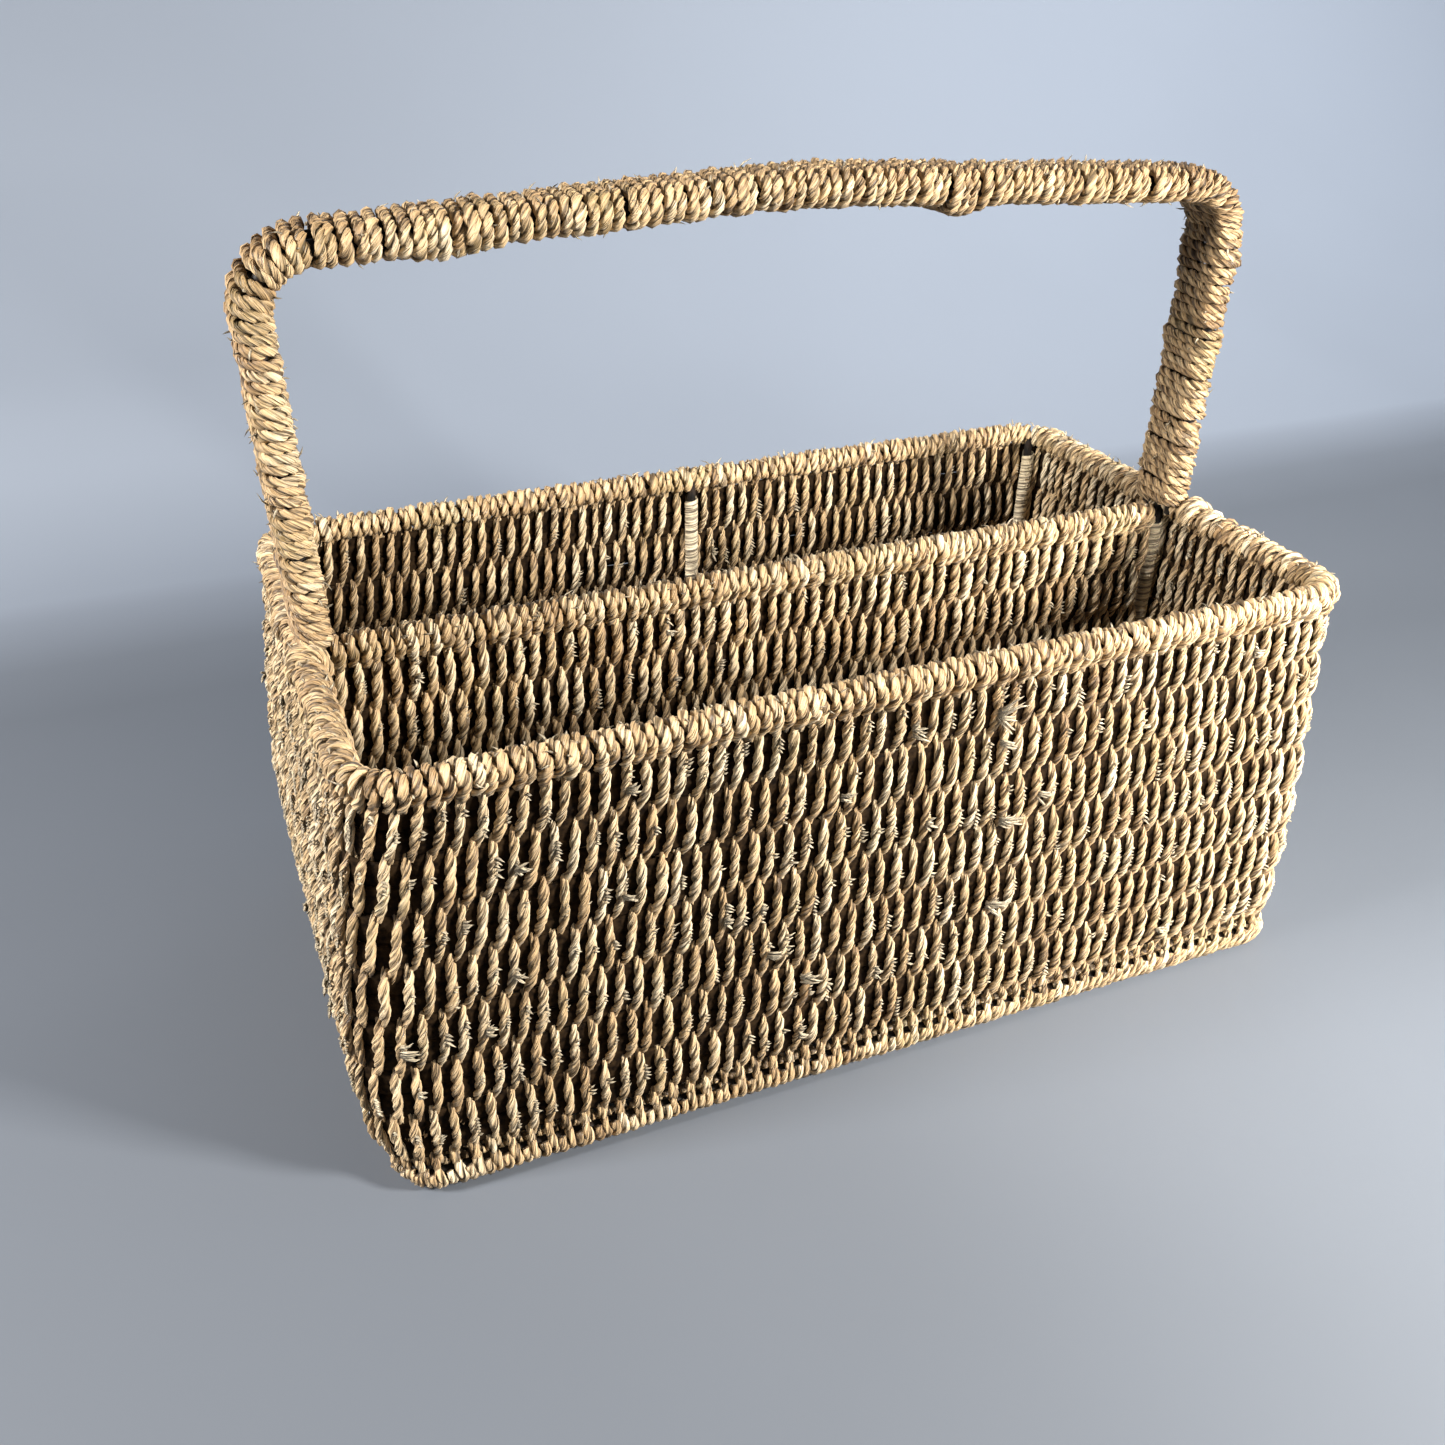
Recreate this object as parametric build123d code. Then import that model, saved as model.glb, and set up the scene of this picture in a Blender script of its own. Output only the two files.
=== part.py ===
from build123d import *
import math
import os

# A two-compartment storage basket: seagrass cord woven and wrapped over a welded steel wire frame,
# with a centre divider and a fixed, wrapped bail handle.
# Millimetres. +Z is up, X runs along the length, the front is -Y, and the origin is the centre of the
# underside.

# ---- driving dimensions ----
RIM_LENGTH = 409.0  # over the wrapped rim
RIM_DEPTH = 234.0
RIM_HEIGHT = 181.0  # floor to the top of the wrapped rim
BASE_LENGTH = 401.0
BASE_DEPTH = 234.0
OVERALL_HEIGHT = 333.5  # to the crown of the handle
DIVIDER_HEIGHT = 177.0
CORD = 4.4  # diameter of the twisted seagrass cord
BODY_WIRE = 4.0
HANDLE_ROD = 5.0
ROD_SPACING = 16.0  # between the two parallel rods of the handle
BELLY = 5.0  # how far each end wall bulges past a straight wall
RIM_CORNER = 24.0  # outer plan radius of the rim
BASE_CORNER = 13.5
HANDLE_CORNER = 21.5  # bend radius at the centreline of the handle
HANDLE_RISE = 10.0  # where the bar's two slopes would cross, over the handle's corners
CROWN_PULL = 30.0  # how far each side of the middle the arch reaches
LEG_LEAN = 4.0  # how far each leg leans out from the foot to the corner
WRAP_SLACK = 0.6  # the cord wound on the handle doesn't lie quite tight
LASHING_TURNS = 1.2  # turns of cord round the rim at each side of a handle foot
LEAF_WRAP = 1.3  # thickness of the flat leaf wound round a post
CROSS_WIRE_Z = 5.4  # height of the wires across the floor
CROSS_WIRE_SPACING = 96.0
BELLY_SHAPE = 0.6  # below 1, an end wall is fullest below the middle of its height
LOFT_HEIGHTS = (34.0, 56.0, 84.0, 122.0)  # where the end walls' bulge is followed

# ---- worked-out dimensions ----
FIT = 0.1  # gap between pieces that lie against each other
WALL = 2 * CORD + 0.2  # a cord on each side of the weave's middle
WRAP_RADIUS = 6.25  # outside of a rim wire wrapped in cord
EDGE_RADIUS = 6.4  # outside of the base wire with the cords turned round it
WIRE_R = BODY_WIRE / 2
ROD_R = HANDLE_ROD / 2
WIRE_BORE = WIRE_R + FIT
POST_WRAP_R = WIRE_R + LEAF_WRAP
POST_SET = 2 * WIRE_R + FIT  # a post's axis inside the ring that it is welded to
RIM_Z = RIM_HEIGHT - WRAP_RADIUS
EDGE_Z = EDGE_RADIUS
WALL_BOTTOM = EDGE_Z + EDGE_RADIUS + FIT
WALL_TOP = RIM_Z - WRAP_RADIUS - FIT
DIVIDER_WIRE_Z = DIVIDER_HEIGHT - WRAP_RADIUS
FLOOR = WALL
LONG_WIRE_Z = CROSS_WIRE_Z + BODY_WIRE + FIT
CROSS_WIRE_STATIONS = {"left": -CROSS_WIRE_SPACING, "middle": 0.0, "right": CROSS_WIRE_SPACING}
HANDLE_WRAP = CORD + WRAP_SLACK
HANDLE_WIDTH = ROD_SPACING + HANDLE_ROD + 2 * HANDLE_WRAP
HANDLE_THICKNESS = HANDLE_ROD + 2 * HANDLE_WRAP
HANDLE_FOOT_X = RIM_LENGTH / 2 - WRAP_RADIUS - WIRE_R - FIT - ROD_R  # on the inner side of the rim wire
HANDLE_FOOT_Z = RIM_Z - WIRE_R
HANDLE_WRAP_FOOT = DIVIDER_HEIGHT + FIT  # the handle's cord starts just over the divider's
HANDLE_CORNER_X = HANDLE_FOOT_X + LEG_LEAN
CROWN_DROP = CROWN_PULL * HANDLE_RISE / HANDLE_CORNER_X / 2  # arch's top under that crossing
HANDLE_CORNER_Z = OVERALL_HEIGHT - HANDLE_THICKNESS / 2 - HANDLE_RISE + CROWN_DROP
LASHING_RADIUS = WRAP_RADIUS + CORD / 2
LASHING_REACH = HANDLE_WIDTH / 2 + LASHING_TURNS * CORD
LOFT_LEVELS = (WALL_BOTTOM, *LOFT_HEIGHTS, WALL_TOP)
FAR = 400.0  # past everything, for cutting tools
SIDES = ("front", "back", "left", "right")


def share(z):
    """0 at the base wire's height and 1 at the rim wire's."""
    return (z - EDGE_Z) / (RIM_Z - EDGE_Z)


def between(base, rim, z):
    """A dimension at height z, from its values at the base wire and at the rim wire."""
    return base + (rim - base) * share(z)


def half_length(z, belly=True):
    """Half the length of the wall's middle surface at height z."""
    straight = between(BASE_LENGTH / 2 - WALL / 2, RIM_LENGTH / 2 - WRAP_RADIUS, z)
    bulge = BELLY * math.sin(math.pi * max(share(z), 0.0) ** BELLY_SHAPE) if belly else 0.0
    return straight + bulge


def half_depth(z):
    """Half the depth of the wall's middle surface at height z."""
    return between(BASE_DEPTH / 2 - WALL / 2, RIM_DEPTH / 2 - WRAP_RADIUS, z)


def corner_radius(z):
    """The plan radius of that surface at its corners."""
    return between(BASE_CORNER - EDGE_RADIUS, RIM_CORNER - WRAP_RADIUS, z)


def outline(z, out):
    """The wall's middle surface at height z, moved outwards by out, as a flat face."""
    face = RectangleRounded(
        2 * (half_length(z) + out), 2 * (half_depth(z) + out), corner_radius(z) + out
    )
    return Pos(0, 0, z) * face


def rod(start, end, radius):
    """A round bar between two points."""
    start, end = Vector(*start), Vector(*end)
    axis = end - start
    return Solid.make_cylinder(radius, axis.length, Plane(origin=start, z_dir=axis))


def ring_path(z):
    """The closed route of a ring of wire bent to the wall's plan at height z."""
    flat = RectangleRounded(2 * half_length(z, belly=False), 2 * half_depth(z), corner_radius(z))
    return (Pos(0, 0, z) * flat).wire()


def ring(z, radius):
    """A round bar bent to that route, made of its straights and its corner bends."""
    path = ring_path(z)
    start = path.position_at(0)
    return sweep(Plane(origin=start, z_dir=path.tangent_at(0)) * Circle(radius), path=path).solid()


def quarter(side):
    """A wedge that holds one wall, between planes through the corners. side is one of SIDES."""

    def plan(z):
        x = half_length(z, belly=False) - corner_radius(z)
        y = half_depth(z) - corner_radius(z)
        if side in ("front", "back"):
            near, far = ((-x, y), (x, y)), ((x + FAR, y + FAR), (-x - FAR, y + FAR))
            turn = 180.0 if side == "front" else 0.0
        else:
            near, far = ((x, -y), (x, y)), ((x + FAR, y + FAR), (x + FAR, -y - FAR))
            turn = 180.0 if side == "left" else 0.0
        return Pos(0, 0, z) * Rot(0, 0, turn) * make_face(Polyline(*near, *far, close=True))

    return loft([plan(0.0), plan(RIM_HEIGHT + WRAP_RADIUS)], ruled=True).solid()


def posts():
    """Where each upright wire stands: name, foot and head."""

    def corner(sx, sy, z):
        reach = (corner_radius(z) - POST_SET) * math.sqrt(0.5)
        x = half_length(z, belly=False) - corner_radius(z) + reach
        return (sx * x, sy * (half_depth(z) - corner_radius(z) + reach), z)

    placed = {}
    for end, sx in (("left", -1), ("right", 1)):
        for face, sy in (("front", -1), ("back", 1)):
            placed[f"corner_{face}_{end}"] = (corner(sx, sy, EDGE_Z), corner(sx, sy, RIM_Z))
        foot = (sx * (half_length(EDGE_Z, belly=False) - POST_SET), 0.0, EDGE_Z)
        head = (sx * (half_length(RIM_Z, belly=False) - POST_SET), 0.0, RIM_Z)
        placed[f"end_{end}"] = (foot, head)
    for face, sy in (("front", -1), ("back", 1)):
        foot = (0.0, sy * (half_depth(EDGE_Z) - POST_SET), EDGE_Z)
        head = (0.0, sy * (half_depth(RIM_Z) - POST_SET), RIM_Z)
        placed[f"mid_{face}"] = (foot, head)
    return placed


def along(post, z):
    """The point of a post's axis at height z."""
    foot, head = Vector(*post[0]), Vector(*post[1])
    return foot + (head - foot) * share(z)


def handle_path(y=0.0):
    """The handle's route: up one leg, round the corner, over the shallow arch and down the other leg."""
    slope = HANDLE_RISE / HANDLE_CORNER_X
    route = [
        (-HANDLE_FOOT_X, y, HANDLE_FOOT_Z),
        (-HANDLE_CORNER_X, y, HANDLE_CORNER_Z),
        (0.0, y, HANDLE_CORNER_Z + HANDLE_RISE),
        (HANDLE_CORNER_X, y, HANDLE_CORNER_Z),
        (HANDLE_FOOT_X, y, HANDLE_FOOT_Z),
    ]
    return FilletPolyline(*route, radius=[HANDLE_CORNER, CROWN_PULL / slope, HANDLE_CORNER])


def handle_feet(radius):
    """A bar round the lower end of each handle rod, for cutting its hole in the rim's wrap."""
    climb = (RIM_HEIGHT + HANDLE_ROD - HANDLE_FOOT_Z) / (HANDLE_CORNER_Z - HANDLE_FOOT_Z)
    feet = []
    for sx in (-1, 1):
        for y in (-ROD_SPACING / 2, ROD_SPACING / 2):
            foot = Vector(sx * HANDLE_FOOT_X, y, HANDLE_FOOT_Z)
            corner = Vector(sx * HANDLE_CORNER_X, y, HANDLE_CORNER_Z)
            feet.append(rod(foot, foot + (corner - foot) * climb, radius))
    return feet


def along_handle(section):
    """A section, drawn with the handle's width along its Y, swept along the handle."""
    path = handle_path()
    plane = Plane(origin=path @ 0, x_dir=(0, 1, 0), z_dir=path % 0)
    return sweep(plane * section, path=path).solid()


def frame_wires():
    """The welded steel frame, and the two handle rods, whose feet are welded inside its rim."""
    nodes = {"rim_wire": ring(RIM_Z, WIRE_R), "base_wire": ring(EDGE_Z, WIRE_R)}
    for name, (foot, head) in posts().items():
        nodes[f"{name}_post"] = rod(foot, head, WIRE_R)
    for name, height in (("divider_top_wire", DIVIDER_WIRE_Z), ("divider_bottom_wire", LONG_WIRE_Z)):
        reach = along(posts()["end_right"], height).X - WIRE_R - FIT
        nodes[name] = rod((-reach, 0, height), (reach, 0, height), WIRE_R)
    for place, x in CROSS_WIRE_STATIONS.items():
        welded_to = half_depth(EDGE_Z) - (POST_SET if place == "middle" else 0.0)
        reach = welded_to - WIRE_R - FIT
        start, end = (x, -reach, CROSS_WIRE_Z), (x, reach, CROSS_WIRE_Z)
        nodes[f"floor_cross_wire_{place}"] = rod(start, end, WIRE_R)
    for face, y in (("front", -ROD_SPACING / 2), ("back", ROD_SPACING / 2)):
        path = handle_path(y)
        nodes[f"handle_rod_{face}"] = sweep(
            Plane(origin=path @ 0, z_dir=path % 0) * Circle(ROD_R), path=path
        ).solid()
    return nodes


def post_holes(radius):
    """Bars round the posts, for cutting the holes that they stand in."""
    return [rod(foot, head, radius) for foot, head in posts().values()]


def woven_walls():
    """The four woven walls, meeting at the corners, with grooves where the posts lie in the weave."""
    outer = loft([outline(z, WALL / 2) for z in LOFT_LEVELS], ruled=True)
    inner = loft([outline(z, -WALL / 2) for z in LOFT_LEVELS], ruled=True)
    shell = outer - inner
    for hole in post_holes(POST_WRAP_R + FIT):
        shell -= hole
    return {f"wall_{side}": (shell & quarter(side)).solid() for side in SIDES}


def rim_wraps():
    """The cord wound over the rim wire, as a hollow tube in four runs."""
    tube = ring(RIM_Z, WRAP_RADIUS) - ring(RIM_Z, WIRE_BORE)
    for cutter in post_holes(WIRE_BORE) + handle_feet(ROD_R + FIT):
        tube -= cutter
    return {f"rim_wrap_{side}": (tube & quarter(side)).solid() for side in SIDES}


def base_edges():
    """The turn of the wall's cords round the base wire, as a hollow tube in four runs."""
    tube = ring(EDGE_Z, EDGE_RADIUS) - ring(EDGE_Z, WIRE_BORE)
    for cutter in post_holes(WIRE_BORE):
        tube -= cutter
    cross_reach = half_depth(EDGE_Z)
    for x in CROSS_WIRE_STATIONS.values():
        tube -= rod((x, -cross_reach, CROSS_WIRE_Z), (x, cross_reach, CROSS_WIRE_Z), WIRE_BORE)
    long_reach = half_length(EDGE_Z, belly=False)
    tube -= rod((-long_reach, 0, LONG_WIRE_Z), (long_reach, 0, LONG_WIRE_Z), WIRE_BORE)
    return {f"base_edge_{side}": (tube & quarter(side)).solid() for side in SIDES}


def floor_panel():
    """The woven floor, flat underneath, with its wires inside it."""
    inset = EDGE_RADIUS + FIT
    plan = RectangleRounded(
        2 * (half_length(EDGE_Z, belly=False) - inset),
        2 * (half_depth(EDGE_Z) - inset),
        corner_radius(EDGE_Z) - inset,
    )
    panel = extrude(plan, FLOOR)
    for x in CROSS_WIRE_STATIONS.values():
        panel -= rod((x, -FAR, CROSS_WIRE_Z), (x, FAR, CROSS_WIRE_Z), WIRE_BORE)
    panel -= rod((-FAR, 0, LONG_WIRE_Z), (FAR, 0, LONG_WIRE_Z), WIRE_BORE)
    for hole in post_holes(WIRE_BORE):
        panel -= hole
    return {"floor_panel": panel.solid()}


def divider():
    """The woven divider between the end posts, and the cord wound over its top wire."""
    reach = along(posts()["end_right"], EDGE_Z).X - POST_WRAP_R - 2 * FIT
    bottom = FLOOR + FIT
    top = DIVIDER_WIRE_Z - WRAP_RADIUS - FIT
    panel = Pos(0, 0, (bottom + top) / 2) * Box(2 * reach, WALL, top - bottom)
    panel -= rod((-FAR, 0, LONG_WIRE_Z), (FAR, 0, LONG_WIRE_Z), WIRE_BORE)
    left, right = (-reach, 0, DIVIDER_WIRE_Z), (reach, 0, DIVIDER_WIRE_Z)
    wrap = rod(left, right, WRAP_RADIUS) - rod(left, right, WIRE_BORE)
    return {"divider_panel": panel.solid(), "divider_rim_wrap": wrap.solid()}


def post_wraps():
    """A flat leaf wound round each post, from the base edge up to the rim."""
    nodes = {}
    for name, post in posts().items():
        foot, head = along(post, WALL_BOTTOM + FIT), along(post, WALL_TOP - FIT)
        wrap = rod(foot, head, POST_WRAP_R) - rod(foot, head, WIRE_R + FIT / 2)
        nodes[f"{name}_post_wrap"] = wrap.solid()
    return nodes


def handle_wraps():
    """The cord wound round both rods: two legs with their corners, and the bar between them."""
    outer = SlotOverall(HANDLE_WIDTH, HANDLE_THICKNESS)
    bore = SlotOverall(ROD_SPACING + 2 * (ROD_R + FIT), 2 * (ROD_R + FIT))
    tube = along_handle(outer) - along_handle(bore)
    tube -= ring(RIM_Z, WRAP_RADIUS + FIT)
    tube -= Pos(0, 0, HANDLE_WRAP_FOOT - FAR / 2) * Box(2 * FAR, FAR, FAR)
    bar_half = HANDLE_CORNER_X - HANDLE_CORNER - HANDLE_THICKNESS / 2
    bar_room = Pos(0, 0, OVERALL_HEIGHT) * Box(2 * bar_half, FAR, FAR / 2)
    side_room = Pos(bar_half + FAR / 2, 0, OVERALL_HEIGHT - FAR / 2) * Box(FAR, FAR, 2 * FAR)
    return {
        "handle_wrap_bar": (tube & bar_room).solid(),
        "handle_wrap_right": (tube & side_room).solid(),
        "handle_wrap_left": (tube & side_room.mirror(Plane.YZ)).solid(),
    }


def handle_lashings(leg, walls):
    """The turns of cord that bind each foot of the handle to the rim, over the outside and the top."""
    nodes = {}
    for name, sx in (("left", -1), ("right", 1)):
        x = sx * half_length(RIM_Z, belly=False)
        start, end = (x, -LASHING_REACH, RIM_Z), (x, LASHING_REACH, RIM_Z)
        collar = rod(start, end, LASHING_RADIUS) - rod(start, end, WRAP_RADIUS + FIT)
        collar -= leg
        under = Pos(x, 0, RIM_Z - LASHING_RADIUS) * Box(WALL + 2 * FIT, FAR, 2 * LASHING_RADIUS)
        inside = Pos(x - sx * LASHING_RADIUS, 0, RIM_Z) * Box(LASHING_RADIUS, FAR, 3 * LASHING_RADIUS)
        collar = collar - under - inside
        for wall in walls:
            collar -= wall
        nodes[f"handle_lashing_{name}"] = collar
    return nodes


def build():
    """Every piece of the basket by name."""
    nodes = frame_wires()
    nodes |= woven_walls()
    nodes |= rim_wraps()
    nodes |= base_edges()
    nodes |= floor_panel()
    nodes |= divider()
    nodes |= post_wraps()
    nodes |= handle_wraps()
    leg = along_handle(SlotOverall(HANDLE_WIDTH + 2 * FIT, HANDLE_THICKNESS + 2 * FIT))
    nodes |= handle_lashings(leg, [nodes["wall_left"], nodes["wall_right"]])
    return nodes


os.makedirs("parts", exist_ok=True)
for node_name, solid in build().items():
    export_step(solid, f"parts/{node_name}.step")
    print(node_name, round(solid.volume), len(solid.solids()))
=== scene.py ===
import math

import bmesh
import bpy
import numpy as np
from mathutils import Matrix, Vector


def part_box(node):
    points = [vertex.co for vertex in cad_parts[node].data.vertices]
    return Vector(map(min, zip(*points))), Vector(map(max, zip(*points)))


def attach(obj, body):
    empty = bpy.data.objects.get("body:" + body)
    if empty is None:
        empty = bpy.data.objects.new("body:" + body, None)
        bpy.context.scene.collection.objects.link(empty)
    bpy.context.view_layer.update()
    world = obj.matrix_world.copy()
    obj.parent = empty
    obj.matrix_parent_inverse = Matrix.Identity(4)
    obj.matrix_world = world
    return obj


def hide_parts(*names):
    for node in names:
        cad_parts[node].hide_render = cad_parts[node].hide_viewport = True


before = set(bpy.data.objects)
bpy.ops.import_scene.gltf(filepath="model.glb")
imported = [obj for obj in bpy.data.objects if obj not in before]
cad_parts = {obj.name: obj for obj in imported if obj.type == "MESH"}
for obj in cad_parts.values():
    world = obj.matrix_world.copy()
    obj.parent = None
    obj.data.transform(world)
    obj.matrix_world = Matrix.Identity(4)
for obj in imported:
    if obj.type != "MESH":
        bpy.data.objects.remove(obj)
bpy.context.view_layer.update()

# A two-compartment storage basket of twisted seagrass cord over a wire frame. Metres.
# Each wall is made of its cords, which run up and down and pass in front of and behind flat strands.
# "At" is a place round the rim: it starts at the left end of the front, and grows to the right along
# the front, then along the right end, the back and the left end.

MM = 0.001
rng = np.random.default_rng(11)

# ---- sizes from the frame ----


def ring_size(node):
    """Half length, half depth and height of a ring of wire, and the radius of its wire."""
    low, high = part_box(node)
    wire = (high.z - low.z) / 2
    return high.x - wire, high.y - wire, (low.z + high.z) / 2, wire


RIM_X, RIM_Y, RIM_Z, WIRE = ring_size("rim_wire")
BASE_X, BASE_Y, BASE_Z, _ = ring_size("base_wire")
DIVIDER_Z = (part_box("divider_top_wire")[0].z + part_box("divider_top_wire")[1].z) / 2
DIVIDER_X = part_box("divider_panel")[1].x
FLOOR_X, FLOOR_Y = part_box("floor_panel")[1].x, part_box("floor_panel")[1].y
FLOOR_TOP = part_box("floor_panel")[1].z
BAR_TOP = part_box("handle_wrap_bar")[1].z
ROD_RADIUS = 2.5 * MM  # the handle's two rods lie this far in from their box, at y = ROD_Y and -ROD_Y
ROD_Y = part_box("handle_rod_back")[1].y - ROD_RADIUS

# ---- sizes of the cord and its weave ----

RIM_CORNER, BASE_CORNER = 17.75 * MM, 10.5 * MM
END_BELLY = 6.5 * MM  # how far the end walls bulge
LEFT_BELLY = 6 * MM  # the left end's extra slack
BELLY_POWER = 0.6  # under 1, so that the bulge is widest below the middle
CORD = 2.2 * MM  # radius
TWIST = 16.5 * MM  # length of one full turn of the two plies
LOOP_TWIST = 12.5 * MM  # the same for the cord of the rim and the handle
RING = 1.8 * MM  # between the rings of a cord's mesh
CORDS = 350  # round the rim
ROW = 22 * MM  # height of one stitch
WEAVE = 2.2 * MM  # how far a cord's middle line swings from the wall's middle
CORD_START = 1 * MM  # from the rim wire's middle down to the top of a wall's cord
ROW_START = 5 * MM  # and down to the top of the first stitch
FIRST_ROW = RIM_Z - ROW_START
WALL_END = 11 * MM  # height of the lowest point of the wall's cords
DIVIDER_END = 9 * MM
SWAY = 0.5 * MM  # how far a stitch bows to one side
LEAN = 0.9 * MM  # how far it leans at its ends
STRANDS_APART = 10.8 * MM  # the two flat strands that a stitch covers

X_RUN, Y_RUN, BEND = 2 * (RIM_X - RIM_CORNER), 2 * (RIM_Y - RIM_CORNER), math.pi / 2 * RIM_CORNER
RUNS = np.array([X_RUN, BEND, Y_RUN, BEND] * 2)
RUN_ENDS = np.cumsum(RUNS)
AROUND = RUN_ENDS[-1]
PITCH = AROUND / CORDS
DIVIDER_CORDS = int(2 * DIVIDER_X / PITCH)
DIRECTIONS = np.array([(1.0, 0.0), (0.0, 1.0), (-1.0, 0.0), (0.0, -1.0)])
NORMALS = np.array([(0.0, -1.0), (1.0, 0.0), (0.0, 1.0), (-1.0, 0.0)])
SIDES = ("front", "right", "back", "left")


# ---- shader notation ----


class Value:
    """A number in a shader. Sums on values add Math nodes."""

    def __init__(self, finish, socket):
        self.finish, self.socket = finish, socket

    def _with(self, operation, first, second):
        node = self.finish.add("ShaderNodeMath", {"operation": operation}, {0: first, 1: second})
        return Value(self.finish, node.outputs[0])

    def __add__(self, other):
        return self._with("ADD", self, other)

    def __sub__(self, other):
        return self._with("SUBTRACT", self, other)

    def __rsub__(self, other):
        return self._with("SUBTRACT", other, self)

    def __mul__(self, other):
        return self._with("MULTIPLY", self, other)

    def __pow__(self, other):
        return self._with("POWER", self, other)

    def floor(self):
        return self._with("FLOOR", self, 0.0)

    def fraction(self):
        return self._with("FRACT", self, 0.0)

    def size(self):
        return self._with("ABSOLUTE", self, 0.0)

    __radd__, __rmul__ = __add__, __mul__


class Finish:
    """A material, and the nodes that make it."""

    def __init__(self, name):
        self.material = bpy.data.materials.new(name)
        self.material.use_nodes = True
        self.tree = self.material.node_tree
        self.tree.nodes.clear()
        self.output = self.add("ShaderNodeOutputMaterial")
        self.shader = self.add("ShaderNodeBsdfPrincipled")
        self.tree.links.new(self.shader.outputs[0], self.output.inputs["Surface"])

    def add(self, kind, settings=None, values=None):
        """A node of this type, with its settings first and then its sockets' values or links."""
        node = self.tree.nodes.new(kind)
        for name, setting in (settings or {}).items():
            if name == "stops":
                for _ in setting[2:]:
                    node.color_ramp.elements.new(0.5)
                for element, (place, colour) in zip(node.color_ramp.elements, setting):
                    element.position, element.color = place, (*colour, 1.0)
            else:
                setattr(node, name, setting)
        for name, value in (values or {}).items():
            if isinstance(value, Value):
                value = value.socket
            if isinstance(value, bpy.types.NodeSocket):
                self.tree.links.new(value, node.inputs[name])
            else:
                node.inputs[name].default_value = value
        return node

    def number(self, kind, output, settings=None, values=None):
        return Value(self, self.add(kind, settings, values).outputs[output])

    def attribute(self, name):
        return self.number("ShaderNodeAttribute", "Fac", {"attribute_name": name})

    def vector(self, x, y, z):
        return self.add("ShaderNodeCombineXYZ", None, {"X": x, "Y": y, "Z": z}).outputs[0]

    def noise(self, vector, scale, detail=2.0):
        values = {"Vector": vector, "Scale": scale, "Detail": detail}
        return self.number("ShaderNodeTexNoise", "Fac", None, values)

    def spread(self, value, low, high, new_low=0.0, new_high=1.0):
        """The value's range from low to high taken to a new range, and held at its ends."""
        values = {0: value, 1: low, 2: high, 3: new_low, 4: new_high}
        return self.number("ShaderNodeMapRange", 0, {"clamp": True}, values)

    def ramp(self, value, *stops):
        return self.add("ShaderNodeValToRGB", {"stops": stops}, {"Fac": value}).outputs[0]

    def mix(self, share, first, second, blend="MIX"):
        settings = {"data_type": "RGBA", "blend_type": blend}
        return self.add("ShaderNodeMix", settings, {0: share, 6: first, 7: second}).outputs[2]

    def surface(self, colour, roughness, height, depth, **uniform):
        """Feeds the shader. height is a bump map and depth its relief in metres."""
        bump = self.add("ShaderNodeBump", None, {"Height": height, "Strength": 1.0, "Distance": depth})
        for name, value in (("Base Color", colour), ("Roughness", roughness), ("Normal", bump.outputs[0])):
            if isinstance(value, Value):
                value = value.socket
            self.tree.links.new(value, self.shader.inputs[name])
        for name, value in uniform.items():
            self.shader.inputs[name.replace("_", " ")].default_value = value
        return self.material


# ---- finishes ----

# the near-black colour of the painted shade in the seagrass's cracks, splits and ply grooves
CREVICE_SHADE = (0.035, 0.018, 0.007)
OLIVE = (0.34, 0.27, 0.10)
DARK_STRAW = (0.12, 0.065, 0.026)
KHAKI = (0.43, 0.265, 0.12)
STRAW = (0.74, 0.515, 0.27)
PALE_STRAW = (0.95, 0.79, 0.54)
FIBRE_RELIEF = 2.4 * MM


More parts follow.
